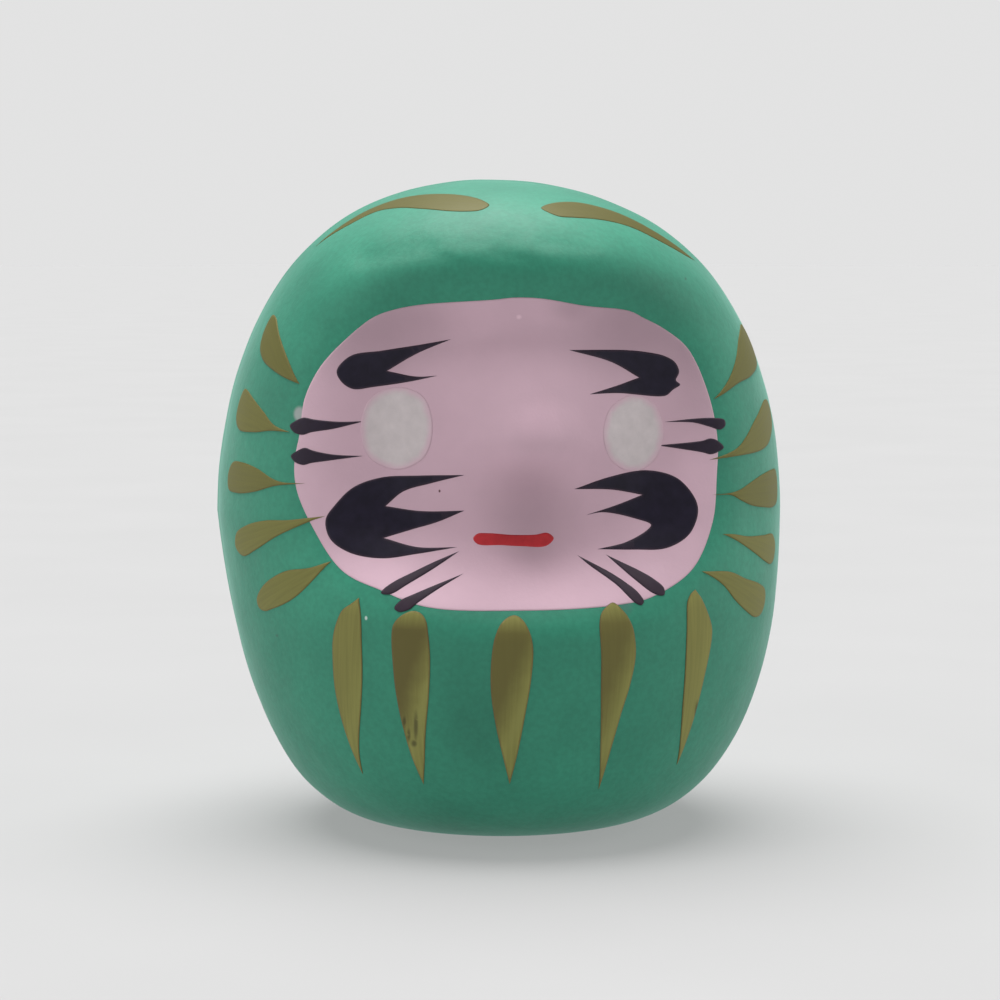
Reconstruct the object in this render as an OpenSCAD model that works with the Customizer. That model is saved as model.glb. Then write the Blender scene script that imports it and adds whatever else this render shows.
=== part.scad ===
// Daruma doll: a hollow papier-mache shell with a weighted foot and brush-painted marks.
// Origin at the middle of the underside, +Z up, the face toward -Y. All sizes in millimetres.

/* [Body] */
// Height from the table to the crown
height = 63.5; // [58:0.5:70]
// Greatest width, side to side
width = 56; // [52:0.5:62]
// Greatest depth, front to back
depth = 54; // [50:0.5:60]
// Height of the widest level above the table
widest_z = 31; // [29:0.5:34]
// Radius of the flat foot
foot_r = 11.2; // [11.2:0.1:13]
// How far the crown stands over to the doll's right
lean = 1.35; // [0:0.05:2.4]

/* [Face relief] */
// How far the hollow of the face stands over to the doll's left
hollow_x = 0.6; // [-1:0.1:2]
// Height of the middle of the hollow
hollow_z = 39; // [37:0.5:41]
// Half the width of the hollow
hollow_w = 22.5; // [20:0.5:24]
// Reach of the hollow above its middle, up to the brow
hollow_up = 17.8; // [15:0.1:18]
// Reach of the hollow below its middle, down to the belly
hollow_down = 18; // [15:0.5:20]
// Depth of the hollow behind the brow
hollow_depth = 5.2; // [3:0.1:6]
// Share of the hollow's reach that its sloping edge takes
hollow_slope = 0.5; // [0.4:0.05:0.7]
// How far the nose stands over to the doll's left
nose_x = 1.8; // [0:0.1:2.4]
// Height of the tip of the nose
nose_z = 39.5; // [38:0.5:42]
// How far the nose stands out
nose_out = 4; // [2:0.1:5]
// Half the width of the nose
nose_w = 5.5; // [4:0.5:7]
// Reach of the bridge of the nose above the tip
nose_up = 9; // [6:0.5:11]
// Reach of the underside of the nose below the tip
nose_down = 4.2; // [3:0.1:6]

/* [Shell] */
// Thickness of the pulp shell
wall = 1.6; // [1.2:0.1:2]
// Thickness of the paper pasted under the foot
base_paper_t = 0.3; // [0.2:0.05:0.5]
// Width of the paper strip over the joint
strip_w = 5; // [4:0.5:8]
// Thickness of the paper strip
strip_t = 0.2; // [0.15:0.05:0.3]
// Columns of facets round each half of the shell
columns = 32; // [24:4:40]
// Rows of facets below the widest level
rows_below = 13; // [10:1:16]
// Rows of facets above the widest level
rows_above = 19; // [14:1:22]

/* [Weight] */
// Radius of the opening in the foot
opening_r = 9; // [8:0.25:9]
// How far the weight's collar laps over the edge of the opening
collar_lap = 0.9; // [0.5:0.1:0.9]
// Radius of the glue fillet round the weight
bead_r = 1.2; // [0.8:0.1:1.2]

/* [Paint] */
// Thickness of one film of paint
film = 0.15; // [0.1:0.05:0.25]
// Half the width of the painted face
face_w = 20.3; // [18:0.1:21]
// Half the height of the painted face
face_h = 14.2; // [12:0.1:15]
// Height of the middle of the painted face
face_z = 38.1; // [37:0.1:39]
// Radius of the whites of the eyes
eye_r = 3.5; // [2.5:0.1:4]
// Thickness of the mouth line
mouth_t = 1.4; // [0.8:0.1:2]

/* [Hidden] */
SIDES = ["right", "left"];
$fn = 64;

// Colours
green = [0.25, 0.52, 0.42];
pink = [0.86, 0.72, 0.77];
eye_white = [0.84, 0.80, 0.82];
black = [0.12, 0.11, 0.15];
red = [0.70, 0.22, 0.22];
gold = [0.55, 0.52, 0.30];
paper_white = [0.88, 0.86, 0.80];
clay = [0.60, 0.48, 0.38];
glue = [0.75, 0.62, 0.38];

foot_z = base_paper_t;
// How far the base paper stops short of the edge of the foot
paper_margin = 0.4;
weight_r = opening_r + collar_lap;
column_step = 180 / columns;
// Levels that stand for the middle of the foot and for the crown
foot_middle = -2;
crown = 1;
// Longer than any way through the doll
far = 60;
// Lowest level that the crown strokes reach, as a share of the height
crown_from = 0.84;

// Inner control points of the two curves of each profile, from the widest ring down to the foot and up
// to the crown: as shares of the widest ring's height, of the height above it, of the half width and of
// the half depth. The sway is the way the body's middle strays sideways, as shares of the lean.
rise_low = 0.44;
rise_high = 0.64;
side_low = [0.968, 0.785];
side_high = [0.98, 0.625];
front_widest = 0.975;
front_low = [1.06, 0.92];
front_high = [0.95, 1.04];
back_low = [1, 0.8];
back_high = [1, 0.66];
sway_low = [0.61, 0.44];
sway_high = [0.14, -0.28];
// How square the outline of the hollow is: 2 is an oval
hollow_square = 3;

// ---- The surface of the body ----
// A point is given by s, the level from -1 at the foot through 0 at the widest ring to 1 at the crown,
// a, the angle round from the middle of the front toward +X, and out, the distance off the surface.

function bezier(p, t) =
    let (u = 1 - t)
    u * u * u * p[0] + 3 * u * u * t * p[1] + 3 * u * t * t * p[2] + t * t * t * p[3];

function level(s, low, high) = s < 0 ? bezier(low, -s) : bezier(high, s);

function ring_z(s) =
    level(s, [widest_z, widest_z * rise_low, foot_z, foot_z],
             [widest_z, widest_z + (height - widest_z) * rise_high, height, height]);

// Half size of the ring at level s: widest at the middle level, foot_r at the foot and 0 at the crown
function ring(s, widest, size, low, high) =
    level(s, [widest * size, low[0] * size, low[1] * size, foot_r],
             [widest * size, high[0] * size, high[1] * size, 0]);

function sway(s) =
    lean * level(s, [0, sway_low[0], sway_low[1], 0], [0, sway_high[0], sway_high[1], -1]);

// How far the face is sunk at x, z: a squared bowl with a flat floor
function hollow(x, z) =
    let (
        reach = z > hollow_z ? hollow_up : hollow_down,
        q = pow(pow(abs(x - hollow_x) / hollow_w, hollow_square)
            + pow(abs(z - hollow_z) / reach, hollow_square), 1 / hollow_square),
        t = max(0, min(1, (1 - q) / hollow_slope))
    )
    hollow_depth * t * t * (3 - 2 * t);

function nose(x, z) =
    let (reach = z > nose_z ? nose_up : nose_down)
    nose_out * exp(-pow((x - nose_x) / nose_w, 2) - pow((z - nose_z) / reach, 2));

// The relief of the face fades out over the last columns before the joint
function skin(s, a) =
    let (
        z = ring_z(s),
        x = ring(s, 1, width / 2, side_low, side_high) * sin(a),
        front = cos(a) > 0,
        deep = front ? ring(s, front_widest, depth / 2, front_low, front_high)
                     : ring(s, 1, depth / 2, back_low, back_high),
        sink = (hollow(x, z) - nose(x, z)) * max(0, min(1, 3 * cos(a)))
    )
    [x + sway(s), sink - cos(a) * deep, z];

// Outward normal from two short steps along the surface
function outward(s, a) =
    let (
        ds = s > 0.96 ? -0.02 : 0.02,
        along = skin(s + ds, a) - skin(s, a),
        round = skin(s, a + 1) - skin(s, a - 1),
        n = cross(round, along) * (ds > 0 ? 1 : -1)
    )
    norm(n) < 1e-9 ? [0, 0, 1] : n / norm(n);

function at(s, a, out) =
    s >= crown ? skin(crown, 0) + [0, 0, out] :
    s == foot_middle ? [0, 0, foot_z - out] :
    s == -1 ? skin(-1, a) - [0, 0, out] :
    skin(s, a) + outward(s, a) * out;

// The rows and columns of the facets, which the shell and every film on it share
ROWS = [for (i = [0:rows_below - 1]) i / rows_below - 1, for (i = [0:rows_above]) i / rows_above];
function half_turn(from) = [for (i = [0:columns]) from + i * column_step];

// Closed slab of triangles between two distances off the surface
module slab(levels, angles, low, high) {
    rows = len(levels);
    cols = len(angles);
    function meets(i) = levels[i] >= crown || levels[i] == foot_middle;
    function id(layer, i, j) = (layer * rows + i) * cols + (meets(i) ? 0 : j);
    function quad(p, q, r, s) = [if (q != r) [p, q, r], if (r != s && p != s) [p, r, s]];
    outer = [for (i = [0:rows - 2], j = [0:cols - 2])
        each quad(id(0, i, j), id(0, i + 1, j), id(0, i + 1, j + 1), id(0, i, j + 1))];
    inner = [for (f = outer) [for (k = [2, 1, 0]) f[k] + rows * cols]];
    sides = [for (i = [0:rows - 2]) each concat(
        quad(id(0, i + 1, 0), id(0, i, 0), id(1, i, 0), id(1, i + 1, 0)),
        quad(id(0, i, cols - 1), id(0, i + 1, cols - 1), id(1, i + 1, cols - 1), id(1, i, cols - 1)))];
    foot_edge = [for (j = [0:cols - 2])
        each quad(id(0, 0, j), id(0, 0, j + 1), id(1, 0, j + 1), id(1, 0, j))];
    top_edge = [for (j = [0:cols - 2], i = rows - 1)
        each quad(id(0, i, j + 1), id(0, i, j), id(1, i, j), id(1, i, j + 1))];
    polyhedron(
        [for (out = [high, low], s = levels, a = angles) at(s, a, out)],
        concat(outer, inner, sides, meets(0) ? [] : foot_edge, meets(rows - 1) ? [] : top_edge));
}

// ---- Structure ----

module half_shell(from) {
    difference() {
        slab(concat([foot_middle], ROWS), half_turn(from), -wall, 0);
        translate([0, 0, -far / 2]) cylinder(r = opening_r, h = far / 2 + foot_z + 2 * wall);
    }
}

module front_shell() color(green) half_shell(-90);

module back_shell() color(green) half_shell(90);

module seam_strip() {
    color(green) intersection() {
        for (from = [-90, 90])
            slab([for (s = ROWS) if (ring_z(s) > strip_w) s], half_turn(from), 0, strip_t);
        translate([-far, -strip_w / 2, 0]) cube([2 * far, strip_w, 2 * far]);
    }
}

// Plug in the opening, a short collar on the floor of the shell, and a dome
module clay_weight() {
    color(clay) translate([0, 0, foot_z]) {
        cylinder(r = opening_r, h = wall);
        translate([0, 0, wall]) cylinder(r = weight_r, h = bead_r);
        translate([0, 0, wall + bead_r]) intersection() {
            sphere(r = weight_r);
            cylinder(r = far, h = far);
        }
    }
}

module weight_glue() {
    color(glue) translate([0, 0, foot_z + wall]) rotate_extrude()
        polygon([[weight_r, 0], [weight_r + bead_r, 0], [weight_r, bead_r]]);
}

module base_paper() {
    color(paper_white) cylinder(r = foot_r - paper_margin, h = base_paper_t);
}

// ---- Brush marks ----
// An outline lies in the plane x, z of the azimuth that it is painted from, or in x, y on the crown.

function bend(p, t) = (1 - t) * (1 - t) * p[0] + 2 * t * (1 - t) * p[1] + t * t * p[2];

function swell(t, head, taper) =
    t < head ? sqrt(1 - pow((head - t) / head, 2)) : 1 - pow((t - head) / (1 - head), taper);

// Outline of a stroke from its round head p[0] to its tip p[2], drawn toward p[1] on the way
function stroke(p, w, head = 0.15, taper = 1.7) =
    let (n = 11)
    [for (k = [0:2 * n - 1])
        let (
            turn = 180 * k / n,
            t = (1 - cos(turn)) / 2,
            ahead = (1 - t) * (p[1] - p[0]) + t * (p[2] - p[1]),
            across = [-ahead[1], ahead[0]] / norm(ahead)
        )
        bend(p, t) + across * sign(sin(turn)) * swell(t, head, taper) * w / 2];

function oval(centre, rx, ry) = [for (turn = [0:15:345]) centre + [rx * cos(turn), ry * sin(turn)]];

// Edge of the painted face: an oval whose four corners are squared by different amounts
function face_edge() =
    [for (turn = [0:9:351])
        let (
            c = cos(turn),
            s = sin(turn),
            square = c > 0 ? (s > 0 ? 2.45 : 3.4) : (s > 0 ? 2.65 : 2.15)
        )
        [face_w * sign(c) * pow(abs(c), 2 / square), face_z + face_h * sign(s) * pow(abs(s), 2 / square)]];

// One film of the coat, over the facets within the given angles and heights
module coat(angles, heights, layer) {
    slab(
        [for (i = [0:len(ROWS) - 1])
            let (below = ROWS[max(i - 1, 0)], above = ROWS[min(i + 1, len(ROWS) - 1)])
            if (ring_z(below) < heights[1] && ring_z(above) > heights[0]) ROWS[i]],
        [for (a = half_turn(-90))
            if (a > angles[0] - column_step && a < angles[1] + column_step) a],
        layer * film, (layer + 1) * film);
}

// Angle round the body of a point u across an outline: the body's radius is taken small on the side
// away from the azimuth and large on the side toward it, so that the coat always covers the outline
small_share = 0.4;
large_share = 0.53;
function reach(u, away) =
    sign(u) * asin(min(1, abs(u) / ((away ? small_share : large_share) * width)));

// Film under the outlines that are its children, painted on at azimuth az; frame holds their points
module painted(az, frame, layer = 0) {
    u0 = min([for (p = frame) p[0]]);
    u1 = max([for (p = frame) p[0]]);
    up = [for (p = frame) p[1]];
    intersection() {
        coat([az + reach(u0, u0 < 0), az + reach(u1, u1 > 0)], [min(up), max(up)], layer);
        rotate([90, 0, az]) children();
    }
}

module brushed(shape) linear_extrude(far) polygon(shape);

// A mark that lies on the face paint and ends with it
module on_face(shapes) {
    painted(0, [for (shape = shapes, p = shape) p], 1) intersection() {
        brushed(face_edge());
        for (shape = shapes) brushed(shape);
    }
}

// A gold stroke on the green coat, which stops at the edge of the face paint
module gold_stroke(az, p, w, head = 0.15, taper = 1.7) {
    shape = stroke(p, w, head, taper);
    color(gold) difference() {
        painted(az, shape) brushed(shape);
        rotate([90, 0, 0]) brushed(face_edge());
    }
}

module face_field() color(pink) painted(0, face_edge()) brushed(face_edge());

// The marks of the doll's right side come first in each pair
EYES = [[-10.6, 40.3], [11.7, 39.6]];

module eye(i) color(eye_white) on_face([oval(EYES[i], eye_r * 0.96, eye_r * 1.04)]);

BROWS = [
    [
        stroke([[-16.5, 45.7], [-12, 48], [-5.9, 48.3]], 2.6),
        stroke([[-16.3, 45.1], [-12, 43.6], [-7.2, 45.3]], 2.2)
    ],
    [
        stroke([[16.6, 45.9], [11, 47.2], [5.4, 47.5]], 2.3),
        stroke([[16.4, 44.8], [12, 43.2], [7.3, 43.5]], 2.1)
    ]
];

module eyebrow(i) color(black) on_face(BROWS[i]);

BEARDS = [
    [
        oval([-14.4, 31.6], 2.9, 3.1),
        stroke([[-16.6, 32.5], [-13, 36.2], [-4.4, 35.9]], 2.6),
        stroke([[-17.2, 31.4], [-11, 31], [-4.7, 32.7]], 2.8),
        stroke([[-16.6, 30.2], [-11.5, 27.6], [-5.2, 29.3]], 2.2)
    ],
    [
        oval([14.9, 32.4], 2.7, 3.3),
        stroke([[16.6, 33.6], [12.5, 36.8], [5.8, 34.7]], 2.4),
        stroke([[17.4, 32.2], [12, 32.2], [7, 32.3]], 2.6),
        stroke([[16.8, 30.8], [13, 28.8], [7.9, 29.2]], 2.4)
    ]
];

module cheek_beard(i) color(black) on_face(BEARDS[i]);

TEMPLE_WHISKERS = [
    [
        stroke([[-19.8, 40.2], [-17, 40.3], [-13.7, 40.8]], 1.6),
        stroke([[-19.8, 37.4], [-17, 37.3], [-13.8, 37.5]], 1.6)
    ],
    [
        stroke([[19.7, 40.5], [17, 40.9], [14.5, 40.8]], 1.2),
        stroke([[19.6, 38.3], [17, 38.4], [13.9, 38.5]], 1.5)
    ]
];

module temple_whisker(i, k) color(black) on_face([TEMPLE_WHISKERS[i][k]]);

CHIN_WHISKERS = [
    [
        stroke([[-11.6, 25.5], [-8.5, 27], [-5, 29.1]], 1.3),
        stroke([[-10.4, 24.2], [-8, 25.2], [-4.6, 27]], 1.4)
    ],
    [
        stroke([[13.6, 25.2], [11, 27], [8.5, 28.6]], 0.9),
        stroke([[11.6, 24.3], [8.5, 26], [5.8, 28.5]], 0.9)
    ]
];

module chin_whisker(i, k) color(black) on_face([CHIN_WHISKERS[i][k]]);

module mouth() color(red) on_face([stroke([[-3.6, 30.3], [0, 29.9], [3.7, 30.1]], mouth_t, 0.12, 8)]);

// The crown strokes are painted from above
CROWN_STROKES = [
    stroke([[-2, -16.3], [-8.4, -11.2], [-18.5, -6.7]], 4),
    stroke([[3, -16.9], [8.6, -12.6], [18.4, -8]], 3.3)
];

module gold_crown(i) {
    round = [for (p = CROWN_STROKES[i]) atan2(p[0], -p[1])];
    color(gold) intersection() {
        coat([min(round), max(round)], [crown_from * height, height], 0);
        linear_extrude(2 * far) polygon(CROWN_STROKES[i]);
    }
}

// Azimuth, course and width of each side stroke, from the brow down
SIDE_STROKES = [
    [
        [-60, [[-4.2, 49.6], [-3.4, 45.4], [3.7, 44.2]], 3.2],
        [-60, [[-6.4, 41.4], [-1.5, 40.6], [3.9, 39.9]], 3.8],
        [-58, [[-8.3, 35.4], [-2, 35.2], [5.2, 35.1]], 3],
        [-54, [[-7.7, 28.2], [-3, 30], [5.4, 32]], 2.9],
        [-47, [[-6.5, 22.7], [-2.5, 25.5], [4.4, 28.2]], 2.9]
    ],
    [
        [58, [[5.1, 48.8], [4.8, 44.6], [-3.7, 42.7]], 3.2],
        [62, [[8.2, 40.6], [2, 38.4], [-5.6, 37.2]], 4],
        [60, [[7.2, 33.7], [0, 33.4], [-6.3, 33.7]], 3],
        [58, [[7.2, 27.5], [1, 28.2], [-4.8, 30]], 2.8],
        [54, [[6.4, 22.6], [0, 23.6], [-5.6, 26.8]], 3]
    ]
];

module gold_side(i, k) {
    mark = SIDE_STROKES[i][k];
    gold_stroke(mark[0], mark[1], mark[2]);
}

// Azimuth, course and width of each belly stroke, from the doll's right to its left
BELLY_STROKES = [
    [-36, [[0.6, 24.4], [0.6, 16], [-1.2, 7.8]], 3.4],
    [-22, [[0.3, 24], [0.3, 15], [0, 7.2]], 3.7],
    [0, [[0, 23.3], [-0.2, 15], [-0.3, 7.4]], 3.8],
    [21, [[0.1, 23.9], [0.1, 15], [0.7, 6.8]], 3.8],
    [41, [[0.2, 25.4], [0.4, 16], [2.2, 8.2]], 3.5]
];

module gold_belly(k) {
    mark = BELLY_STROKES[k];
    gold_stroke(mark[0], mark[1], mark[2], 0.24, 2);
}

front_shell();
back_shell();
seam_strip();
clay_weight();
weight_glue();
base_paper();
face_field();
for (i = [0, 1]) {
    eye(i);
    eyebrow(i);
    cheek_beard(i);
    gold_crown(i);
}
for (i = [0, 1], k = [0, 1]) {
    temple_whisker(i, k);
    chin_whisker(i, k);
}
mouth();
for (i = [0, 1], k = [0:4]) {
    gold_side(i, k);
}
for (k = [0:4]) {
    gold_belly(k);
}
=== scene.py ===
"""Daruma doll: the painted papier-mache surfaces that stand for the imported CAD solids.

Lengths are in millimetres until add_mesh() turns them into metres. The face looks toward -Y and
+Z is up. _right and _left in the names are the doll's own sides, so _right is at -X.
"""
import math

import bmesh
import bpy
import numpy as np
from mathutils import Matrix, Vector, noise
from mathutils.bvhtree import BVHTree
from mathutils.geometry import delaunay_2d_cdt


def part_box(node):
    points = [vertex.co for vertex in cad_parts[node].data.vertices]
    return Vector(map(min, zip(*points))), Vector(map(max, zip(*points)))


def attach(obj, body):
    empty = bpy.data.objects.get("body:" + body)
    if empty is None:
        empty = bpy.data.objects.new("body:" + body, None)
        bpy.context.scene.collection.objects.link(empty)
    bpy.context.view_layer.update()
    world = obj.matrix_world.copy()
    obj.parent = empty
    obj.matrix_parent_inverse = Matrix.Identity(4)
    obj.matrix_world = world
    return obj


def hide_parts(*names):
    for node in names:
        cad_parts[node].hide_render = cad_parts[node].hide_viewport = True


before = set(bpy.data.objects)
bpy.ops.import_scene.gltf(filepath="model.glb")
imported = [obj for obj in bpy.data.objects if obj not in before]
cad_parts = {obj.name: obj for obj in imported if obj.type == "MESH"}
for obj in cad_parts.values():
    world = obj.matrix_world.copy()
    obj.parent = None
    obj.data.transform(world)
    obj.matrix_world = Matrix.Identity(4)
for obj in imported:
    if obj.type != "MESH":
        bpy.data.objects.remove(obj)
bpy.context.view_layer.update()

MM = 1000.0                     # millimetres in a metre
WELD = 1e-8                     # points closer than this, in metres, become one
WHITE = (1, 1, 1)


def cad(node):
    """Lowest and highest corner of a CAD node, in millimetres."""
    return [np.array(corner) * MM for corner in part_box(node)]


# ---- Sizes of the body, from the frame ----
front_low, front_high = cad("front_shell")
back_high = cad("back_shell")[1]
paper_low, paper_high = cad("base_paper")
strip_low, strip_high = cad("seam_strip")
HEIGHT = front_high[2]
WIDTH = front_high[0] - front_low[0]
DEPTH = 2 * back_high[1]
FOOT_Z = paper_high[2]
PAPER_R = (paper_high[0] - paper_low[0]) / 2
STRIP_W = strip_high[1] - strip_low[1]

# The rest of the body's shape, as part.scad states it
WIDEST_Z = 31.0
FOOT_R = PAPER_R + 0.4
OPENING_R = 9.0
WALL = 1.6
LEAN = 1.35
HOLLOW_X, HOLLOW_Z, HOLLOW_W, HOLLOW_UP, HOLLOW_DOWN = 0.6, 39.0, 22.5, 17.8, 18.0
HOLLOW_DEPTH = 5.2
HOLLOW_SLOPE = 0.5              # share of the hollow's reach over which it slopes down to its floor
HOLLOW_SQUARE = 3               # power of its outline: 2 would be an oval
NOSE_X, NOSE_Z, NOSE_OUT = 1.8, 39.5, 4.0
NOSE_W, NOSE_UP, NOSE_DOWN = 5.5, 9.0, 4.2
FACE_TURN = 3                   # how sharply the hollow and the nose end toward the sides

# Control values of the Bezier profiles from the widest ring down to the foot (LOW) and up to the
# crown (HIGH). Heights are shares of the widest ring's height and of the way up from it, distances
# are shares of the half width or half depth, and sway is a share of LEAN.
LOW_Z, HIGH_Z = 0.44, 0.64
LOW_SIDE, HIGH_SIDE = (1, 0.968, 0.785), (1, 0.98, 0.625)
LOW_FRONT, HIGH_FRONT = (0.975, 1.06, 0.92), (0.975, 0.95, 1.04)
LOW_BACK, HIGH_BACK = (1, 1, 0.80), (1, 1, 0.66)
LOW_SWAY, HIGH_SWAY = (0, 0.61, 0.44, 0), (0, 0.14, -0.28, -1)


# ---- The surface of the body, as part.scad makes it ----
def bezier(p, t):
    u = 1 - t
    return u**3 * p[0] + 3 * u * u * t * p[1] + 3 * u * t * t * p[2] + t**3 * p[3]


def level(s, low, high):
    """Profile at level s, from -1 at the foot through 0 at the widest ring to 1 at the crown."""
    return np.where(s < 0, bezier(low, -s), bezier(high, s))


def girth(s, reach, low, high):
    """Distance from the middle at level s, with low and high as shares of reach."""
    return level(s, [*(reach * share for share in low), FOOT_R],
                 [*(reach * share for share in high), 0])


def hollow(x, z):
    """How far the face is sunk: a flat-bottomed bowl."""
    reach = np.where(z > HOLLOW_Z, HOLLOW_UP, HOLLOW_DOWN)
    q = (np.abs((x - HOLLOW_X) / HOLLOW_W) ** HOLLOW_SQUARE
         + np.abs((z - HOLLOW_Z) / reach) ** HOLLOW_SQUARE) ** (1 / HOLLOW_SQUARE)
    t = np.clip((1 - q) / HOLLOW_SLOPE, 0, 1)
    return HOLLOW_DEPTH * t * t * (3 - 2 * t)


def nose(x, z):
    """How far the nose stands out of the hollow."""
    reach = np.where(z > NOSE_Z, NOSE_UP, NOSE_DOWN)
    return NOSE_OUT * np.exp(-(((x - NOSE_X) / NOSE_W) ** 2) - ((z - NOSE_Z) / reach) ** 2)


def skin(s, a):
    """Points of the surface at level s and angle a, measured round from the front toward +X."""
    z = level(s, [WIDEST_Z, WIDEST_Z * LOW_Z, FOOT_Z, FOOT_Z],
              [WIDEST_Z, WIDEST_Z + (HEIGHT - WIDEST_Z) * HIGH_Z, HEIGHT, HEIGHT])
    x = girth(s, WIDTH / 2, LOW_SIDE, HIGH_SIDE) * np.sin(a)
    front = girth(s, DEPTH / 2, LOW_FRONT, HIGH_FRONT)
    back = girth(s, DEPTH / 2, LOW_BACK, HIGH_BACK)
    y = -np.cos(a) * np.where(np.cos(a) > 0, front, back)
    y += (hollow(x, z) - nose(x, z)) * np.clip(FACE_TURN * np.cos(a), 0, 1)
    return np.stack([x + LEAN * level(s, LOW_SWAY, HIGH_SWAY), y, z + 0 * x], -1)


# ---- Mesh building ----
def add_mesh(name, points, faces, smooth, material, slot, nodes, **values):
    """Makes a piece from millimetre points. It replaces the CAD nodes named and rides on the doll.

    Each of values is a number per point that the material can read by its name.
    """
    mesh = bpy.data.meshes.new(name)
    mesh.from_pydata([tuple(p) for p in np.asarray(points) / MM], [], faces)
    mesh.polygons.foreach_set("use_smooth", smooth)
    for key, numbers in values.items():
        mesh.attributes.new(key, "FLOAT", "POINT").data.foreach_set("value", numbers)
    bm = bmesh.new()
    bm.from_mesh(mesh)
    bmesh.ops.remove_doubles(bm, verts=bm.verts, dist=WELD)
    bmesh.ops.recalc_face_normals(bm, faces=bm.faces)
    bm.to_mesh(mesh)
    bm.free()
    mesh.materials.append(material)
    piece = bpy.data.objects.new(name, mesh)
    bpy.context.scene.collection.objects.link(piece)
    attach(piece, "root")
    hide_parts(*nodes)


def sheet_between(outer, inner):
    """Points, faces and smooth flags of the closed sheet between two equal grids of points."""
    rows, cols = outer.shape[:2]
    index = np.arange(rows * cols).reshape(rows, cols)
    under = index + rows * cols

    def quads(g):
        return np.stack([g[:-1, :-1], g[1:, :-1], g[1:, 1:], g[:-1, 1:]], -1).reshape(-1, 4)

    def rim(top, low):
        return np.stack([top[:-1], top[1:], low[1:], low[:-1]], -1)

    faces = [quads(index), quads(under)[:, ::-1]]
    edges = [rim(index[0], under[0]), rim(index[-1], under[-1])[:, ::-1],
             rim(index[:, 0], under[:, 0])[:, ::-1], rim(index[:, -1], under[:, -1])]
    smooth = [True] * sum(map(len, faces)) + [False] * sum(map(len, edges))
    points = np.concatenate([outer.reshape(-1, 3), inner.reshape(-1, 3)])
    return points, np.concatenate(faces + edges).tolist(), smooth


# ---- Materials ----
def grey(value):
    return (value, value, value)


def tint(color, gain):
    return tuple(min(1.0, c * gain) for c in color)


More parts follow.
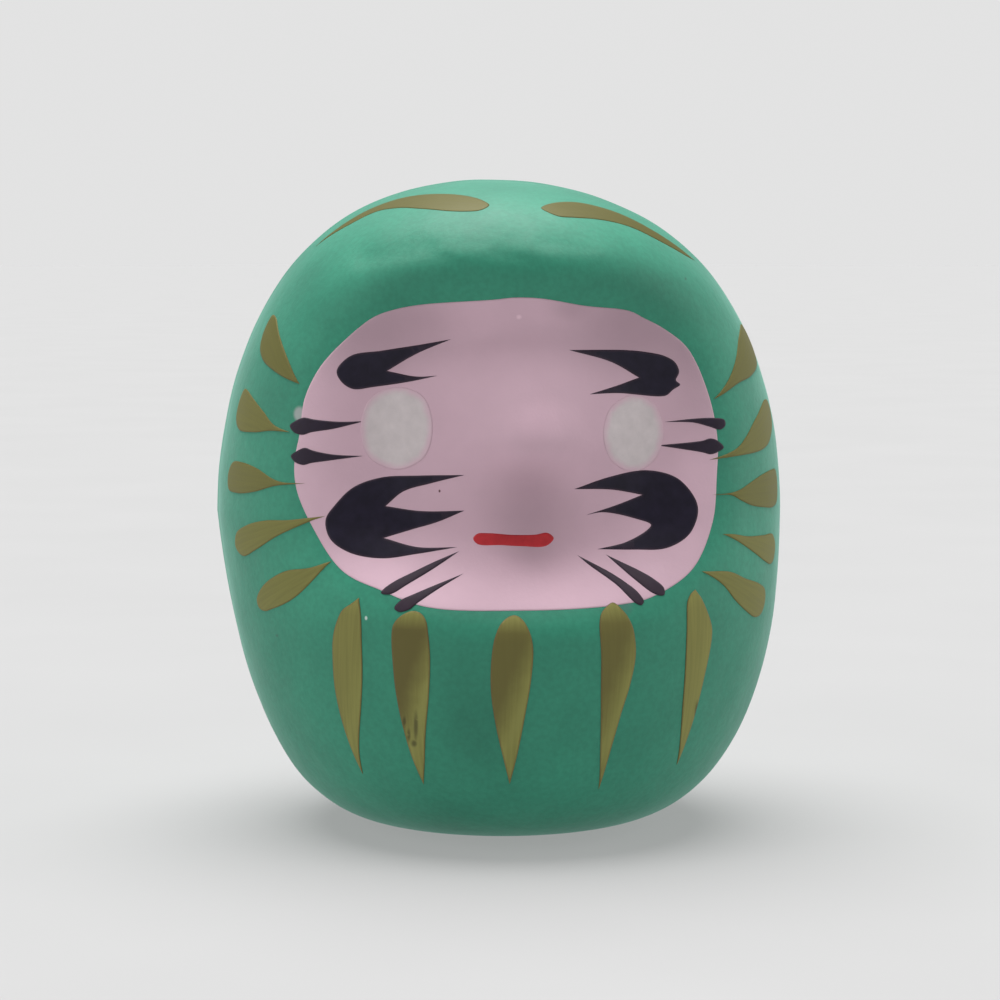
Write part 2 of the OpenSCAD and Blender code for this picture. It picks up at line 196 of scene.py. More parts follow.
class Nodes:
    """Small helper for the node tree of one material."""

    def __init__(self, name, color, roughness, specular, metallic=0.0):
        self.material = bpy.data.materials.new(name)
        self.material.use_nodes = True
        self.tree = self.material.node_tree
        self.shader = self.tree.nodes["Principled BSDF"]
        self.shader.inputs["Base Color"].default_value = (*color, 1)
        self.shader.inputs["Roughness"].default_value = roughness
        self.shader.inputs["Specular IOR Level"].default_value = specular
        self.shader.inputs["Metallic"].default_value = metallic
        self.base = color
        self.place = self.tree.nodes.new("ShaderNodeTexCoord").outputs["Object"]

    def add(self, kind, **values):
        node = self.tree.nodes.new("ShaderNode" + kind)
        for name, value in values.items():
            if name in node.inputs:
                self.put(node.inputs[name], value)
            else:
                setattr(node, name, value)
        return node

    def put(self, socket, value):
        if isinstance(value, bpy.types.NodeSocket):
            self.tree.links.new(value, socket)
        else:
            socket.default_value = value

    def grain(self, size, detail=3.0, roughness=0.5, where=None):
        """Noise between 0 and 1 whose features are about size millimetres across."""
        node = self.add("TexNoise", Scale=MM / size, Detail=detail, Roughness=roughness)
        self.put(node.inputs["Vector"], where or self.place)
        return node.outputs["Fac"]

    def ramp(self, fac, *stops):
        """Colours blended along fac; each stop is (place, colour)."""
        node = self.add("ValToRGB", Fac=fac)
        for element, (at, color) in zip(node.color_ramp.elements, stops):
            element.position = at
            element.color = (*color, 1)
        return node.outputs["Color"]

    def mottle(self, fac, low, high):
        """The base colour, from low to high times as light where the noise fac goes up."""
        return self.ramp(fac, (0.3, tint(self.base, low)), (0.7, tint(self.base, high)))

    def mix(self, fac, a, b, blend="MIX"):
        node = self.add("Mix", data_type="RGBA", blend_type=blend)
        for socket, value in zip((node.inputs[0], node.inputs[6], node.inputs[7]), (fac, a, b)):
            self.put(socket, value)
        return node.outputs[2]

    def lay(self, share, paint, color):
        """Paint with a share of one colour over it."""
        return self.mix(share, paint, (*color, 1))

    def math(self, operation, a, b=0.0, c=0.0):
        node = self.add("Math", operation=operation)
        for socket, value in zip(node.inputs, (a, b, c)):
            self.put(socket, value)
        return node.outputs[0]

    def times(self, *factors):
        product = factors[0]
        for factor in factors[1:]:
            product = self.math("MULTIPLY", product, factor)
        return product

    def scaled(self, value, gain, start):
        """start + gain * value."""
        return self.math("MULTIPLY_ADD", value, gain, start)

    def value(self, name):
        """A number that add_mesh() stored at each point."""
        return self.add("Attribute", attribute_name=name).outputs["Fac"]

    def fade(self, value, full, none):
        """1 where value is at full, 0 where it is at none, smooth between them."""
        node = self.add("MapRange", interpolation_type="SMOOTHSTEP")
        ends = {"Value": value, "From Min": full, "From Max": none, "To Min": 1.0, "To Max": 0.0}
        for key, number in ends.items():
            self.put(node.inputs[key], number)
        return node.outputs["Result"]

    def spot(self, x, z, rx, rz, soft):
        """1 in the middle of an oval seen from the front, 0 at its edge.

        x and z are its middle, rx and rz its half width and half height, in millimetres, and soft
        is the share of its radius over which it fades.
        """
        moved = self.add("VectorMath", operation="SUBTRACT")
        self.put(moved.inputs[0], self.place)
        self.put(moved.inputs[1], (x / MM, 0, z / MM))
        scaled = self.add("VectorMath", operation="MULTIPLY")
        self.put(scaled.inputs[0], moved.outputs[0])
        self.put(scaled.inputs[1], (MM / rx, 0, MM / rz))
        length = self.add("VectorMath", operation="LENGTH")
        self.put(length.inputs[0], scaled.outputs[0])
        return self.fade(length.outputs["Value"], 1.0 - soft, 1.0)

    def shade_and_light(self, paint, spots):
        """Paint with painted shade and painted light in wide soft ovals: x, z, rx, rz and the gain
        of each.
        """
        for x, z, rx, rz, gain in spots:
            paint = self.mix(self.spot(x, z, rx, rz, 0.9), paint, (*grey(gain), 1), "MULTIPLY")
        return paint

    def color(self, socket):
        self.put(self.shader.inputs["Base Color"], socket)

    def rough(self, socket):
        self.put(self.shader.inputs["Roughness"], socket)

    def bump(self, *layers):
        """Each layer is (height socket between 0 and 1, full height in millimetres)."""
        normal = None
        for height, depth in layers:
            node = self.add("Bump", Height=height, Distance=depth / MM, Strength=1.0)
            if normal is not None:
                self.put(node.inputs["Normal"], normal)
            normal = node.outputs["Normal"]
        self.put(self.shader.inputs["Normal"], normal)

    def pulp(self, least_rough):
        """Roughness and the fine relief of matt paint on paper pulp."""
        self.rough(self.scaled(self.grain(2.5), 0.14, least_rough))
        self.bump((self.grain(1.6, 4), 0.05), (self.grain(0.25, 3), 0.012))


# Painted shade and painted light in wide soft ovals: x, z, half width, half height, gain
GREEN_SHADE_AND_LIGHT = [
    (14.5, 54.5, 9.0, 4.5, 0.84),
    (-20.0, 53.0, 8.0, 6.0, 0.86),
    (6.0, 56.2, 7.0, 1.6, 0.90),
    (-24.5, 44.0, 6.0, 9.0, 0.87),
    (-18.5, 25.0, 7.5, 7.0, 1.22),
    (-3.5, 14.0, 6.0, 6.5, 0.85),
    (17.5, 51.5, 7.0, 4.0, 0.90),
    (22.5, 27.0, 5.0, 6.0, 1.1),
]
PINK_SHADE_AND_LIGHT = [
    (1.5, 33.2, 6.5, 6.0, 0.76),
    (13.5, 50.0, 12.0, 7.5, 0.69),
    (19.0, 45.5, 5.5, 9.0, 0.8),
    (-13.5, 50.0, 13.0, 6.5, 0.74),
    (5.2, 51.4, 2.6, 1.6, 0.88),
    (-13.0, 25.5, 12.0, 5.5, 1.28),
    (5.0, 25.2, 15.0, 4.5, 1.16),
    (3.0, 41.2, 4.5, 2.8, 1.15),
    (18.3, 35.5, 4.0, 5.0, 1.12),
]
# Dabs and specks on the green: x, z, half width, half height, soft share, strength, colour
GREEN_DABS = [
    (-19.7, 41.4, 0.7, 0.9, 0.5, 0.5, (0.62, 0.50, 0.56)),
    (-13.6, 22.9, 0.16, 0.25, 0.6, 0.9, (0.6, 0.7, 0.66)),
    (10.4, 24.0, 0.9, 1.2, 0.9, 0.35, (0.10, 0.12, 0.14)),
    (-22.0, 20.2, 0.2, 0.2, 0.6, 0.5, (0.05, 0.1, 0.08)),
    (16.9, 54.0, 0.15, 0.18, 0.6, 0.6, (0.03, 0.07, 0.05)),
]
# Dark streaks in the gold: x, z, half width, half height, soft share. The first is low on the
# fifth belly stroke, the rest make up the stain on the second.
GOLD_STAINS = [
    (17.6, 13.2, 0.3, 1.5, 0.7),
    (-10.1, 13.3, 0.25, 0.8, 0.8),
    (-9.7, 12.0, 0.25, 0.9, 0.8),
    (-9.05, 12.9, 0.3, 2.1, 0.8),
    (-9.2, 11.2, 0.4, 0.5, 0.8),
]


def green_coat():
    """Matt green with a faint bloom and painted shade and light in wide ovals; the dabs are on the
    front alone.
    """
    n = Nodes("green_coat", (0.034, 0.25, 0.158), 0.55, specular=0.3)
    chalk = n.ramp(n.grain(0.5, 3), (0.35, grey(0.93)), (0.65, grey(1.05)))
    paint = n.mix(1.0, n.mottle(n.grain(9, 4), 0.90, 1.10), chalk, "MULTIPLY")
    # Painted shade on the brow, the upper sides and low on the belly, painted light on the lower
    # cheeks.
    paint = n.shade_and_light(paint, GREEN_SHADE_AND_LIGHT)
    split = n.add("SeparateXYZ", Vector=n.place)
    front = n.math("LESS_THAN", split.outputs["Y"], 0.0)
    for x, z, rx, rz, soft, share, color in GREEN_DABS:
        paint = n.lay(n.times(n.spot(x, z, rx, rz, soft), share, front), paint, color)
    n.color(paint)
    n.shader.inputs["Sheen Weight"].default_value = 0.3
    n.shader.inputs["Sheen Roughness"].default_value = 0.35
    n.shader.inputs["Sheen Tint"].default_value = (0.6, 1.0, 0.88, 1)
    n.pulp(0.46)
    return n.material


def pink_coat():
    """Matt pink with painted shade and painted light in wide ovals, and one dark and one pale
    speck.
    """
    n = Nodes("pink_coat", (0.64, 0.435, 0.515), 0.6, specular=0.3)
    # Painted shade under the nose, under the brow and in the face's upper corners; painted light
    # low on the face, on the nose and at one side.
    paint = n.shade_and_light(n.mottle(n.grain(7, 4), 0.93, 1.02), PINK_SHADE_AND_LIGHT)
    paint = n.lay(n.spot(-6.7, 34.4, 0.13, 0.18, 0.6), paint, (0.12, 0.05, 0.05))
    paint = n.lay(n.times(n.spot(0.6, 50.6, 0.35, 0.3, 0.8), 0.6), paint, (0.85, 0.62, 0.70))
    n.color(paint)
    n.pulp(0.54)
    return n.material


def eye_coat():
    """Thin white, so that the pink comes through toward its edge."""
    n = Nodes("eye_coat", (0.625, 0.562, 0.568), 0.65, specular=0.3)
    white = n.mottle(n.grain(1.4, 5, 0.6), 0.92, 1.06)
    uneven = n.scaled(n.grain(0.9, 3), 0.5, n.value("edge"))
    n.color(n.lay(n.fade(uneven, 0.2, 1.1), white, (0.64, 0.445, 0.52)))
    n.bump((n.grain(1.2, 4), 0.05))
    return n.material


def ink_coat():
    """Blue-black where it is laid on thick, browner where it thins out."""
    n = Nodes("ink_coat", (0.012, 0.0095, 0.021), 0.5, specular=0.2)
    ink = n.mottle(n.grain(1.0, 4), 0.85, 1.3)
    depth = n.scaled(n.grain(0.7, 3), 0.12, n.value("edge"))
    thin = n.math("MAXIMUM", n.times(n.fade(depth, 0.06, 0.32), 0.45), n.value("wash"))
    n.color(n.lay(thin, ink, (0.075, 0.046, 0.062)))
    n.bump((n.grain(0.8, 3), 0.03))
    return n.material


def red_coat():
    n = Nodes("red_coat", (0.52, 0.034, 0.042), 0.5, specular=0.2)
    n.color(n.mottle(n.grain(0.9, 4), 0.85, 1.1))
    n.bump((n.grain(0.8, 3), 0.03))
    return n.material


def gold_coat():
    """Bronze powder paint, streaked along the stroke and brown at its rim.

    dark is a painted dark reflection high on a belly stroke, and the last value painted shade on
    crown and side strokes.
    """
    n = Nodes("gold_coat", (0.26, 0.254, 0.076), 0.5, specular=0.15, metallic=0.15)
    edge, along, across, dark, dull = map(n.value, ("edge", "along", "across", "dark", "dull"))
    brush = n.add("CombineXYZ", X=n.times(across, 6 / MM), Y=n.times(along, 3 / MM))
    streaks = n.grain(1.6, 3, where=brush.outputs[0])
    paint = n.mottle(streaks, 0.88, 1.12)
    # Bend is along with its lines set aslant and made uneven; the head's own end stays light.
    bend = n.scaled(n.grain(1.5, 3), 0.16, n.scaled(across, 0.17, along))
    past_end = n.math("MINIMUM", 1.0, n.times(along, 10.0))
    # Painted dark reflection over the upper part of a belly stroke.
    paint = n.lay(n.times(n.fade(bend, 0.32, 0.8), past_end, dark), paint, (0.14, 0.122, 0.041))
    # Painted light reflection in a band across a belly stroke.
    from_band = n.math("ABSOLUTE", n.math("SUBTRACT", bend, 0.78))
    paint = n.lay(n.times(n.fade(from_band, 0.0, 0.16), dark, 0.5), paint, (0.29, 0.29, 0.092))
    # Painted shade over the crown and side strokes.
    paint = n.lay(dull, paint, (0.088, 0.08, 0.024))
    rim = n.fade(n.scaled(n.grain(0.6, 2), 0.12, edge), 0.06, 0.26)
    paint = n.lay(n.times(rim, n.scaled(dull, -0.6, 0.6)), paint, (0.17, 0.115, 0.055))
    stain = 0.0
    for oval in GOLD_STAINS:
        stain = n.math("MAXIMUM", stain, n.spot(*oval))
    stain = n.times(stain, 0.7, n.fade(n.grain(0.7, 3), 0.45, 0.2))
    n.color(n.lay(stain, paint, (0.06, 0.052, 0.026)))
    n.rough(n.scaled(streaks, 0.2, 0.42))
    n.bump((streaks, 0.008), (n.grain(0.3, 3), 0.01))
    return n.material


def paper_coat():
    n = Nodes("paper_coat", (0.70, 0.66, 0.56), 0.85, specular=0.2)
    n.color(n.mottle(n.grain(2, 5, 0.6), 0.85, 1.08))
    n.bump((n.grain(0.6, 5), 0.05))
    return n.material


def clay_body():
    n = Nodes("clay_body", (0.32, 0.20, 0.12), 0.9, specular=0.2)
    n.color(n.mottle(n.grain(2, 5), 0.75, 1.2))
    n.bump((n.grain(1.0, 5), 0.1))
    return n.material


def glue_body():
    n = Nodes("glue_body", (0.50, 0.32, 0.12), 0.3, specular=0.5)
    n.color(n.mottle(n.grain(3, 3), 0.8, 1.1))
    n.bump((n.grain(1.5, 2), 0.05))
    return n.material


GREEN, PINK, EYE, INK = green_coat(), pink_coat(), eye_coat(), ink_coat()
RED, GOLD, PAPER = red_coat(), gold_coat(), paper_coat()

# ---- The shell ----
FINE = 2                        # marks are laid on a surface this many times finer than the shell
COLUMNS = 120                   # of the mesh round each half
ROWS_BELOW, ROWS_ABOVE, ROWS_FOOT = 60, 90, 4
BROAD_SIZE, BROAD_DEPTH = 14, 0.16      # swells of the pulp
SMALL_SIZE, SMALL_DEPTH = 4.5, 0.05     # finger-sized dents
CALM = 4                        # height over the foot in which the unevenness sets in

# Dents pressed into the brow while the pulp was soft: the two ends, the depth and half the width
CREASES = [
    ((-6.2, 56.1), (-3.9, 54.4), 0.14, 0.4),
    ((3.0, 57.3), (7.0, 56.7), 0.08, 1.0),
    ((-1.5, 56.3), (2.0, 55.6), 0.12, 0.7),
    ((-10.6, 53.6), (-9.6, 51.9), 0.08, 0.35),
    ((-13.5, 56.0), (-8.0, 56.8), 0.2, 1.3),
]


def lumps(p):
    """Unevenness of the pulp at one point."""
    broad = noise.noise(Vector(p) / BROAD_SIZE + Vector((7.3, 1.9, 4.1)))
    small = noise.noise(Vector(p) / SMALL_SIZE + Vector((2.2, 8.4, 5.7)))
    return BROAD_DEPTH * broad + SMALL_DEPTH * small


def creases(points):
    """How far the brow is dented at each point."""
    dent = 0
    for start, end, depth, width in CREASES:
        start, run = np.array(start), np.array(end) - start
        place = points[..., [0, 2]] - start
        share = np.clip(place @ run / (run @ run), 0, 1)
        gap = np.linalg.norm(place - share[..., None] * run, axis=-1)
        dent = dent + depth * np.exp(-(gap / width) ** 2)
    return np.where(points[..., 1] < 0, dent, 0)


def body_grid():
    """Rows and columns of the uneven surface, its normals, and the same surface without lumps.

    The rows run from the opening in the foot to the crown, the columns once round from one ear.
    """
    angles = np.radians(np.linspace(-90, 270, 2 * COLUMNS * FINE + 1))
    foot = np.linspace(OPENING_R, FOOT_R, ROWS_FOOT * FINE + 1)[:-1, None]
    flat = np.stack([foot * np.sin(angles), -foot * np.cos(angles), FOOT_Z + 0 * foot * angles], -1)
    s = np.concatenate([np.linspace(-1, 0, ROWS_BELOW * FINE + 1)[:-1],
                        np.linspace(0, 1, ROWS_ABOVE * FINE + 1)])
    points = np.concatenate([flat, skin(s[:, None], angles[None, :])])
    along = np.gradient(points, axis=0)
    ring = np.concatenate([points[:, -2:-1], points, points[:, 1:2]], 1)
    normals = np.cross(ring[:, 2:] - ring[:, :-2], along)
    length = np.linalg.norm(normals, axis=-1, keepdims=True)
    normals /= np.maximum(length, 1e-9)
    normals[-1] = (0, 0, 1)
    calm = np.clip((points[..., 2] - FOOT_Z) / CALM, 0, 1)
    rise = np.array([[lumps(p) for p in row[:-1]] for row in points])
    rise = np.concatenate([rise, rise[:, :1]], 1) * calm - creases(points)
    rise[-1] = rise[-1, 0]
    return points + normals * rise[..., None], normals, points


SURFACE, NORMALS, EVEN = body_grid()


def half_shell(name, first):
    """Closed wall of pulp of one half, from the opening of the foot to the crown."""
    span = slice(first * FINE, (first + COLUMNS) * FINE + 1, FINE)
    outer = SURFACE[::FINE, span]
    inner = EVEN[::FINE, span] - NORMALS[::FINE, span] * WALL
    points, faces, smooth = sheet_between(outer, inner)
    add_mesh(name + "_skin", points, faces, smooth, GREEN, "green_pulp", [name])


def search_tree():
    """The fine surface as a tree that rays can be cast at."""
    rows, cols = SURFACE.shape[:2]
    index = np.arange(rows * cols).reshape(rows, cols)
    quads = np.stack([index[:-1, :-1], index[:-1, 1:], index[1:, 1:], index[1:, :-1]], -1)
    return BVHTree.FromPolygons([tuple(p) for p in SURFACE.reshape(-1, 3)],
                                quads.reshape(-1, 4).tolist())


half_shell("front_shell", 0)
half_shell("back_shell", COLUMNS)
BODY = search_tree()


def land(origin, direction):
    """Point of the body that a ray meets, and the outward normal there."""
    place, normal, _, _ = BODY.ray_cast(Vector(origin), Vector(direction))
    if place is None:
        raise ValueError("a mark runs off the body")
    if normal.dot(Vector(direction)) > 0:
        normal = -normal
    return np.array(place), np.array(normal)


# ---- Brush marks ----
TIP = 1                         # third value of an outline's point at a sharp corner
UNDER = -0.05                   # the underside of a film lies this far inside the pulp
RIM = 0.15                      # a film has its full thickness this far inside its outline
FAR = 80.0                      # a mark's rays start this far from the middle of the doll
ROW = 0.866                     # height of the rows in a net of equal triangles, for a side of 1
RING_GAP = 0.9                  # points of the second ring keep this share of RIM to the outline
NET_GAP = 0.4                   # the net's keep RIM and this share of their spacing to it
TOUCH = 1e-6                    # points closer than this become one in the triangulation


def steps(start, end, step):
    """How many steps a curve takes from one of its points to the next."""
    return max(2, int(round(np.linalg.norm(end - start) / step)))


def spline(points, step):
    """Centripetal Catmull-Rom curve through an open run of points."""
    p = np.array([2 * points[0] - points[1], *points, 2 * points[-1] - points[-2]])
    knots = np.concatenate([[0], np.cumsum(np.sqrt(np.linalg.norm(np.diff(p, axis=0), axis=1)))])
    out = []
    for i in range(1, len(p) - 2):
        t0, t1, t2, t3 = knots[i - 1:i + 3]
        for t in np.linspace(t1, t2, steps(p[i], p[i + 1], step) + 1)[:-1]:
            a1 = p[i - 1] * (t1 - t) / (t1 - t0) + p[i] * (t - t0) / (t1 - t0)
            a2 = p[i] * (t2 - t) / (t2 - t1) + p[i + 1] * (t - t1) / (t2 - t1)
            a3 = p[i + 1] * (t3 - t) / (t3 - t2) + p[i + 2] * (t - t2) / (t3 - t2)
            b1 = a1 * (t2 - t) / (t2 - t0) + a2 * (t - t0) / (t2 - t0)
            b2 = a2 * (t3 - t) / (t3 - t1) + a3 * (t - t1) / (t3 - t1)
            out.append(b1 * (t2 - t) / (t2 - t1) + b2 * (t - t1) / (t2 - t1))
    return out


def outline(marks, step):
    """Closed curve through the points of a mark, smooth except at its tips."""
    points = [np.array(m[:2], float) for m in marks]
    tips = [i for i, m in enumerate(marks) if len(m) > 2]
    n = len(points)
    if not tips:
        # Two points more at each end make the curve smooth where it closes.
        ring = [points[i % n] for i in range(-2, n + 3)]
        counts = [steps(a, b, step) for a, b in zip(ring, ring[1:])]
        lead = sum(counts[:2])
        return np.array(spline(ring, step)[lead:lead + sum(counts[2:n + 2])])
    out = []
    for k, start in enumerate(tips):
        end = tips[(k + 1) % len(tips)]
        run = [points[(start + i) % n] for i in range((end - start - 1) % n + 2)]
        out += spline(run, step)
    return np.array(out)


def inside(points, ring):
    """Which points lie inside a closed ring, and how far each is from the ring's points."""
    a, b = ring, np.roll(ring, -1, axis=0)
    x, y = points[:, :1], points[:, 1:]
    crosses = (a[:, 1] > y) != (b[:, 1] > y)
    with np.errstate(divide="ignore", invalid="ignore"):
        at = a[:, 0] + (y - a[:, 1]) * (b[:, 0] - a[:, 0]) / (b[:, 1] - a[:, 1])
    odd = (crosses & (x < at)).sum(1) % 2 == 1
    gap = np.linalg.norm(points[:, None] - ring[None], axis=-1).min(1)
    return odd, gap


def fill(ring, spacing):
    """Triangles over a closed ring, by way of a second ring RIM inside it and a net within that."""
    ahead = np.roll(ring, -1, axis=0) - np.roll(ring, 1, axis=0)
    ahead /= np.linalg.norm(ahead, axis=1, keepdims=True)
    after = np.roll(ring, -1, axis=0)
    turning = np.sign((ring[:, 0] * after[:, 1] - after[:, 0] * ring[:, 1]).sum())
    second = ring + RIM * turning * np.stack([-ahead[:, 1], ahead[:, 0]], -1)
    odd, gap = inside(second, ring)
    second = second[odd & (gap > RIM * RING_GAP)]
    low, high = ring.min(0), ring.max(0)
    net = np.array([(low[0] + (i + 0.5 * (j % 2)) * spacing, low[1] + j * spacing * ROW)
                    for j in range(int((high[1] - low[1]) / spacing / ROW) + 1)
                    for i in range(int((high[0] - low[0]) / spacing) + 1)])
    odd, gap = inside(net, ring)
    net = np.concatenate([second, net[odd & (gap > RIM + spacing * NET_GAP)]])
    n = len(ring)
    flat = [Vector(p) for p in np.concatenate([ring, net])]
    edges = [(i, (i + 1) % n) for i in range(n)]
    points, _, faces, *_ = delaunay_2d_cdt(flat, edges, [], 1, TOUCH)
    return np.array([tuple(p) for p in points]), [list(f) for f in faces]


def chart(azimuth):
    """Right, up and outward directions of the plane that a mark is painted from.

    None is the plan of the crown.
    """
    if azimuth is None:
        return np.array([1.0, 0, 0]), np.array([0, 1.0, 0]), np.array([0, 0, 1.0])
    sine, cosine = math.sin(math.radians(azimuth)), math.cos(math.radians(azimuth))
    return np.array([cosine, sine, 0]), np.array([0, 0, 1.0]), np.array([sine, -cosine, 0])


def plate(top, low, faces):
    """Points, faces and smooth flags of the closed solid between two layers with the same faces."""
    count = len(top)
    used = {(a, b) for f in faces for a, b in zip(f, f[1:] + f[:1])}
    under = [[i + count for i in reversed(f)] for f in faces]
    sides = [[b, a, a + count, b + count] for a, b in used if (b, a) not in used]
    smooth = [True] * len(faces) + [False] * (len(under) + len(sides))
    return [*top, *low], faces + under + sides, smooth


# How closely a mark is drawn: the spacing of its net and the step along its outline
WIDE = {"spacing": 0.5, "step": 0.25}
ROUND = {"spacing": 0.4, "step": 0.2}
BOLD = {"spacing": 0.4, "step": 0.15}
THIN = {"spacing": 0.3, "step": 0.12}


def film(node, azimuth, marks, material, slot, rise, spacing, step, lip=0.055, **extra):
    """Film of paint over an outline. Its top stands off the body by lip at the rim, then by rise.

    The material can read edge, the distance from the outline, along, from 0 at the head of a
    stroke to 1 at its tip, across, the distance to the left of its middle line, and whatever
    extra gives.
    """
    ring = outline(marks, step)
    flat, faces = fill(ring, spacing)
    right, up, out = chart(azimuth)
    landed = [land(right * u + up * v + out * FAR, -out) for u, v in flat]
    edge = inside(flat, ring)[1]
    top = [p + n * (lip + (rise - lip) * min(1.0, e / RIM)) for (p, n), e in zip(landed, edge)]
    low = [p + n * UNDER for p, n in landed]
    points, faces, smooth = plate(top, low, faces)
    tip = np.array(next((m[:2] for m in marks if len(m) > 2), marks[0]))
    head = ring[np.linalg.norm(ring - tip, axis=1).argmax()]
    length = np.linalg.norm(tip - head)
    axis = (tip - head) / length
    values = {
        "edge": edge,
        "along": (flat - head) @ axis / length,
        "across": (flat - head) @ np.array([-axis[1], axis[0]]),
        **{key: np.full(len(flat), number) for key, number in extra.items()},
    }
    add_mesh(node + "_film", points, faces, smooth, material, slot, [node],
             **{key: np.tile(numbers, 2) for key, numbers in values.items()})


COAT, VEIL, STROKE, MARK = 0.04, 0.056, 0.065, 0.08     # how far the tops of the layers stand off
COAT_LIP, CROWN_LIP = 0.02, 0.015                       # at the rims of the thinnest films

FACE = [(-19.2, 42.9), (-17.7, 45.9), (-15.3, 48.5), (-12.8, 50.5), (-11.0, 51.2), (-8.5, 51.7),
        (-1.8, 52.2), (0.2, 52.4), (2.7, 52.3), (6.8, 51.6), (11.0, 51.1), (12.5, 50.4),
        (14.6, 49.3), (16.9, 47.4), (18.9, 43.0), (19.7, 38.8), (19.6, 35.6), (19.1, 31.1),
        (17.0, 27.0), (13.0, 24.7), (9.7, 24.1), (0.4, 23.8), (-8.2, 24.1), (-12.1, 25.4),
        (-15.8, 27.1), (-18.7, 31.3), (-20.0, 34.4), (-20.2, 36.8), (-19.7, 39.6)]

EYES = {
    "right": [(-14.0, 40.3), (-13.1, 42.9), (-10.6, 44.0), (-8.2, 43.2), (-7.3, 40.4),
              (-8.1, 37.5), (-10.6, 36.3), (-13.2, 37.4)],
    "left": [(8.5, 39.8), (9.3, 42.1), (11.5, 43.2), (13.6, 42.3), (14.5, 39.6), (13.6, 37.0),
             (11.5, 36.0), (9.3, 37.2)],
}
BROWS = {
    "right": [(-16.2, 45.5), (-14.9, 46.9), (-12.0, 47.4), (-8.3, 48), (-5.6, 48.5, TIP),
              (-8.8, 47.1), (-11.5, 45.5, TIP), (-8.8, 45), (-6.9, 45.1, TIP), (-9.5, 44.5),
              (-12.7, 44), (-14.7, 43.8), (-15.8, 44.5)],
    "left": [(5.3, 47.5, TIP), (10.9, 47.4), (12.8, 47.2), (14.6, 46.8), (15.6, 46.2),
             (16.0, 45.3), (15.7, 44.5), (16.1, 44.1), (15.4, 43.6), (14.8, 43.1), (14.0, 43.0),
             (10.1, 43.4), (7.2, 43.4, TIP), (9.9, 44.1), (12.1, 44.8, TIP), (9.4, 46.3)],
}
BEARDS = {
    "right": [(-17.3, 31.65), (-16.4, 33.05), (-14.7, 34.65), (-12.1, 35.55), (-8.7, 35.8),
              (-4.4, 35.95, TIP), (-7.5, 35.1), (-10.0, 34.3), (-11.7, 32.9, TIP), (-8.5, 32.5),
              (-4.4, 32.6, TIP), (-6.9, 31.5), (-9.5, 30.7), (-11.9, 30, TIP), (-8.8, 29.2),
              (-5.1, 29.2, TIP), (-8.8, 28.6), (-12.2, 28.2), (-15.2, 28.75), (-16.9, 29.95)],
    "left": [(5.8, 34.6, TIP), (9.1, 35.6), (12.8, 36.1), (15.8, 35.3), (17.5, 33.3), (17.7, 32.0),
             (16.8, 30.1), (14.6, 28.9), (11.5, 28.8), (8.0, 28.9, TIP), (10.8, 29.5),
             (12.9, 30.6), (13.2, 31.0), (11.7, 31.6), (8.6, 32.3), (7.0, 32.1, TIP), (10.1, 33.0),
             (12.4, 33.8, TIP), (9.4, 34.4)],
}
TEMPLES = {
    "right": [[(-20.6, 40.3), (-20.0, 40.8), (-19.3, 41.1), (-18.3, 40.95), (-16.0, 40.75),
               (-13.6, 40.8, TIP), (-16.5, 40.1), (-18.6, 39.75), (-19.4, 39.5), (-20.2, 39.7)],
              [(-20.5, 37.5), (-19.9, 38.0), (-19.2, 38.3), (-18.4, 38.05), (-16.5, 37.7),
               (-13.8, 37.55, TIP), (-16.5, 37.2), (-18.6, 36.9), (-19.4, 36.7), (-20.2, 37.0)]],
    "left": [[(14.6, 40.6, TIP), (17.8, 40.9), (19.5, 40.9), (20.4, 40.7), (20.5, 40.2),
              (20.0, 39.8), (18.9, 40.1), (17.4, 40.5)],
             [(13.9, 38.4, TIP), (18.2, 38.8), (19.0, 39.0), (19.8, 38.7), (20.3, 38.1),
              (19.7, 37.7), (19.0, 37.5), (18.2, 37.7)]],
}
CHINS = {
    "right": [[(-4.9, 28.85, TIP), (-7.5, 27.8), (-9.5, 26.9), (-10.8, 26.3), (-11.9, 25.6),
               (-12.2, 25.2), (-11.4, 25.1), (-9.7, 26.0), (-7.2, 27.4)],
              [(-4.6, 26.9, TIP), (-7.8, 25.7), (-9.3, 25.1), (-10.4, 24.6), (-11.0, 23.9),
               (-10.6, 23.6), (-9.7, 23.8), (-9.0, 24.3), (-7.1, 25.5)]],
    "left": [[(8.8, 28.4, TIP), (10.3, 27.7), (11.8, 27.0), (13.2, 26.2), (14.1, 25.4),
              (14.1, 24.8), (13.2, 24.9), (11.5, 26.1)],
             [(6.1, 28.4, TIP), (9.2, 26.8), (10.6, 25.9), (11.6, 25.1), (12.1, 24.3),
              (11.9, 24.0), (11.3, 24.2), (9.6, 25.8), (7.2, 27.5)]],
}
MOUTH = [(-3.6, 30), (-3.2, 30.45), (-2.0, 30.5), (0.0, 30.35), (2.2, 30.35), (3.3, 30.5),
         (3.9, 30.0), (3.2, 29.3), (0.7, 29.3), (-1.0, 29.4), (-3.2, 29.5)]

CROWN = {
    "right": [(-1.9, -16.9), (-2.3, -15.8), (-3.4, -14.2), (-6.5, -10.9), (-10.0, -7.3),
              (-13.3, -6.1), (-18.2, -6.0, TIP), (-15.0, -7.8), (-12.3, -8.9), (-10.5, -11.0),
              (-8.4, -14.0), (-6.1, -16.4), (-4.4, -17.4), (-2.8, -17.7)],
    "left": [(3.0, -17.0), (3.5, -15.9), (6.2, -13.0), (9.8, -11.0), (14.3, -9.5),
             (18.5, -7.6, TIP), (17.2, -9.5), (14.6, -11.7), (11.5, -13.4), (8.0, -15.8),
             (6.1, -17.1), (4.4, -17.8)],
}
